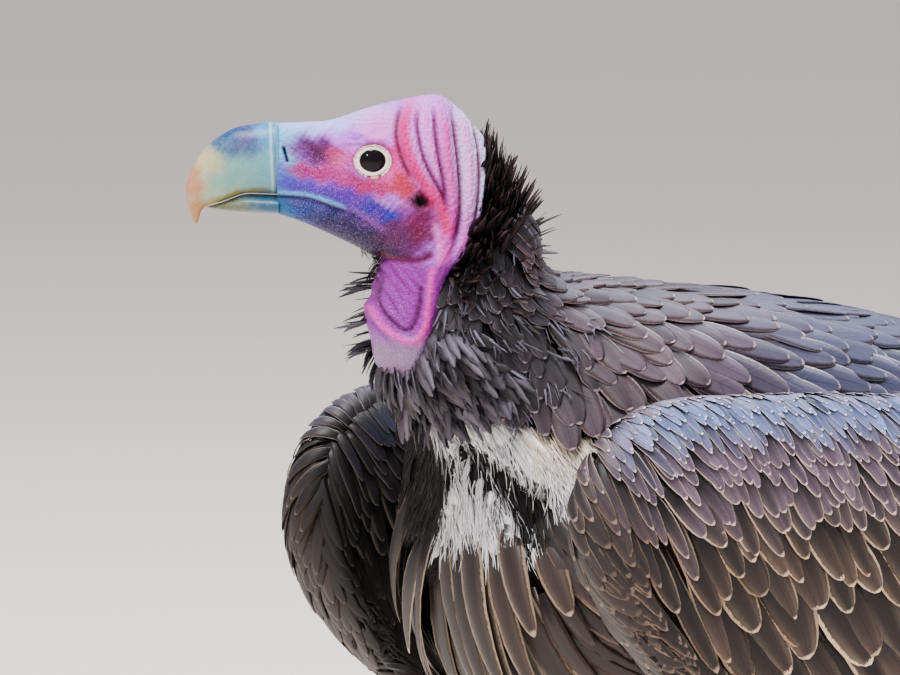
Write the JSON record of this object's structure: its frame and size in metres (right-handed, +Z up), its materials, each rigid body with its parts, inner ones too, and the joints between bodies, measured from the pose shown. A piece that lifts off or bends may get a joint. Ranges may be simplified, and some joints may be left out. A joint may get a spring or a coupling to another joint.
{
  "type": "lappet-faced vulture",
  "caption": "Life-size still model of a lappet-faced vulture standing with wings let down, bare folded head turned to its right, hooked bill, dark ruff and wedge tail.",
  "frame": {"origin": "on the floor, under the middle of the bird's box", "axes": "+Z up, the trunk faces -Y, the bird's left side is +X"},
  "size_m": [0.3784, 0.9286, 0.6462],
  "materials": {
    "skin": "bare wrinkled skin, pink to magenta and blue-violet, satin",
    "horn": "bill horn, greenish grey to tan, semi-gloss",
    "eye": "dark wet eye, high gloss",
    "ruff": "spiky dark brown ruff feathers, matt",
    "plumage": "brown contour feathers with paler edges, soft sheen",
    "flight": "dark brown flight feathers, soft sheen",
    "down": "creamy white down, matt",
    "leg": "bluish grey scaled skin, satin",
    "claw": "black claw horn, semi-gloss"
  },
  "bodies": {
    "root": {"bill_lower": "horn", "bill_upper": "horn", "claw_hind_left": "claw", "claw_hind_right": "claw", "claw_inner_left": "claw", "claw_inner_right": "claw", "claw_middle_left": "claw", "claw_middle_right": "claw", "claw_outer_left": "claw", "claw_outer_right": "claw", "eye_left": "eye", "eye_right": "eye", "foot_left": "leg", "foot_right": "leg", "head": "skin", "lappet_left": "skin", "lappet_right": "skin", "neck_lower": "plumage", "neck_upper": "ruff", "rump": "plumage", "tail": "flight", "tarsus_left": "leg", "tarsus_right": "leg", "thigh_left": "down", "thigh_right": "down", "trunk": "plumage", "wing_left_arm": "plumage", "wing_left_primaries": "flight", "wing_left_secondaries": "flight", "wing_right_arm": "plumage", "wing_right_primaries": "flight", "wing_right_secondaries": "flight"}
  },
  "joints": []
}
